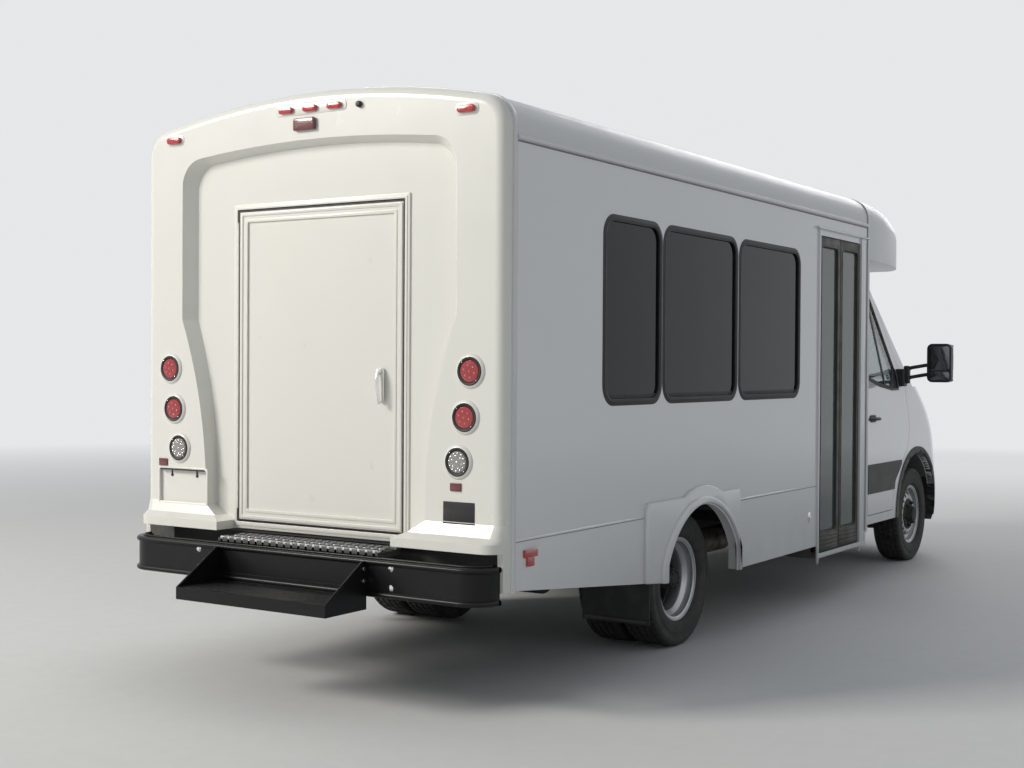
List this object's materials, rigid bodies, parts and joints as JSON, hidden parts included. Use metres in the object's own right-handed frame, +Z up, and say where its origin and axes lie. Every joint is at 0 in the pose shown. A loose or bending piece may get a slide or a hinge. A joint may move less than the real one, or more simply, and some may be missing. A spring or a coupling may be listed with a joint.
{
  "type": "minibus",
  "caption": "White cutaway minibus with a wide coach body, moulded end caps, rear door and step, folding entry door, steered front wheels and twin rear wheels.",
  "frame": {"origin": "on the ground under the middle of the whole vehicle, step included", "axes": "+X forward, +Y to the vehicle's left, +Z up"},
  "size_m": [7.8073, 2.73, 2.8905],
  "materials": {
    "frame_black": "satin chassis paint, dusty",
    "driveline_steel": "dull machined steel",
    "engine_iron": "cast, unpainted",
    "exhaust_steel": "dull aluminised steel",
    "tank_black": "matt moulded",
    "floor_rubber": "ribbed flooring",
    "body_white": "gloss gel-coated side panel",
    "roof_white": "gloss gel coat",
    "cap_white": "gloss moulded end cap",
    "step_grey": "satin, with ribbed mat",
    "bumper_black": "satin powder coat",
    "grip_aluminium": "punched grip tread",
    "lamp_red": "clear moulded lens",
    "flap_rubber": "matt flap",
    "cab_white": "gloss paint",
    "screen_glass": "clear laminated",
    "tinted_glass": "dark tint, gloss",
    "trim_black": "grained moulding",
    "lamp_clear": "clear lens",
    "seat_fabric": "woven upholstery",
    "cab_fabric": "woven upholstery",
    "cab_mat": "moulded floor mat",
    "dash_grey": "grained moulding",
    "door_white": "gloss paint",
    "door_bronze": "dark bronze anodised",
    "hub_iron": "dull iron",
    "wheel_steel": "silver wheel paint",
    "tyre_rubber": "dusty rubber"
  },
  "bodies": {
    "body": {"chassis_rails": "frame_black", "cross_members": "frame_black", "rear_axle": "frame_black", "drive_line": "driveline_steel", "engine_block": "engine_iron", "exhaust": "exhaust_steel", "fuel_tank": "tank_black", "front_subframe": "frame_black", "floor": "floor_rubber", "side_wall_left": "body_white", "side_wall_right": "body_white", "side_windows": "tinted_glass", "roof": "roof_white", "rear_cap": "cap_white", "front_cap": "cap_white", "entry_steps": "step_grey", "rear_bumper": "bumper_black", "tread_plate": "grip_aluminium", "rear_step": "bumper_black", "rear_lamps": "lamp_red", "mud_flaps": "flap_rubber", "cab_shell": "cab_white", "windscreen": "screen_glass", "front_bumper": "cab_white", "grille": "trim_black", "headlamps": "lamp_clear", "seats": "seat_fabric", "cab_seats": "cab_fabric", "cab_floor": "cab_mat", "dashboard": "dash_grey"},
    "cab_door_left": {"cab_door_left": "cab_white", "cab_glass_left": "screen_glass", "mirror_left": "trim_black"},
    "cab_door_right": {"cab_door_right": "cab_white", "cab_glass_right": "screen_glass", "mirror_right": "trim_black"},
    "hood": {"hood": "cab_white"},
    "rear_door": {"rear_door": "door_white"},
    "entry_leaf_rear": {"entry_leaf_rear": "door_bronze"},
    "entry_leaf_front": {"entry_leaf_front": "door_bronze"},
    "steer_left": {"knuckle_left": "hub_iron"},
    "steer_right": {"knuckle_right": "hub_iron"},
    "wheel_front_left": {"front_rim_left": "wheel_steel", "front_tyre_left": "tyre_rubber"},
    "wheel_front_right": {"front_rim_right": "wheel_steel", "front_tyre_right": "tyre_rubber"},
    "wheel_rear_left": {"rear_rims_left": "wheel_steel", "rear_tyres_left": "tyre_rubber"},
    "wheel_rear_right": {"rear_rims_right": "wheel_steel", "rear_tyres_right": "tyre_rubber"}
  },
  "joints": [
    {"name": "steer_left", "type": "hinge", "parent": "body", "child": "steer_left", "pos_m": [2.881, 0.758, 0.376], "axis": [0, 0, 1], "range_deg": [-35, 35]},
    {"name": "steer_right", "type": "hinge", "parent": "body", "child": "steer_right", "pos_m": [2.881, -0.758, 0.376], "axis": [0, 0, 1], "range_deg": [-35, 35]},
    {"name": "spin_front_left", "type": "hinge", "parent": "steer_left", "child": "wheel_front_left", "pos_m": [2.881, 0.868, 0.376], "axis": [0, 1, 0], "continuous": true},
    {"name": "spin_front_right", "type": "hinge", "parent": "steer_right", "child": "wheel_front_right", "pos_m": [2.881, -0.868, 0.376], "axis": [0, 1, 0], "continuous": true},
    {"name": "spin_rear_left", "type": "hinge", "parent": "body", "child": "wheel_rear_left", "pos_m": [-1.444, 0.765, 0.376], "axis": [0, 1, 0], "continuous": true},
    {"name": "spin_rear_right", "type": "hinge", "parent": "body", "child": "wheel_rear_right", "pos_m": [-1.444, -0.765, 0.376], "axis": [0, 1, 0], "continuous": true},
    {"name": "rear_door_hinge", "type": "hinge", "parent": "body", "child": "rear_door", "pos_m": [-3.4103, 0.5245, 1.5], "axis": [0, 0, -1], "range_deg": [0, 90]},
    {"name": "entry_rear_hinge", "type": "hinge", "parent": "body", "child": "entry_leaf_rear", "pos_m": [0.366, -1.1075, 1.4], "axis": [0, 0, -1], "range_deg": [0, 90]},
    {"name": "entry_front_hinge", "type": "hinge", "parent": "body", "child": "entry_leaf_front", "pos_m": [1.133, -1.1075, 1.4], "axis": [0, 0, 1], "range_deg": [0, 90]},
    {"name": "cab_door_left_hinge", "type": "hinge", "parent": "body", "child": "cab_door_left", "pos_m": [2.691, 1.012, 1.2], "axis": [0, 0, -1], "range_deg": [0, 70]},
    {"name": "cab_door_right_hinge", "type": "hinge", "parent": "body", "child": "cab_door_right", "pos_m": [2.691, -1.012, 1.2], "axis": [0, 0, 1], "range_deg": [0, 70]},
    {"name": "hood_hinge", "type": "hinge", "parent": "body", "child": "hood", "pos_m": [3.206, 0, 1.422], "axis": [0, -1, 0], "range_deg": [0, 50]}
  ],
  "couplings": [
    {"joint": "steer_right", "follows": "steer_left", "ratio": 1},
    {"joint": "entry_front_hinge", "follows": "entry_rear_hinge", "ratio": 1}
  ]
}
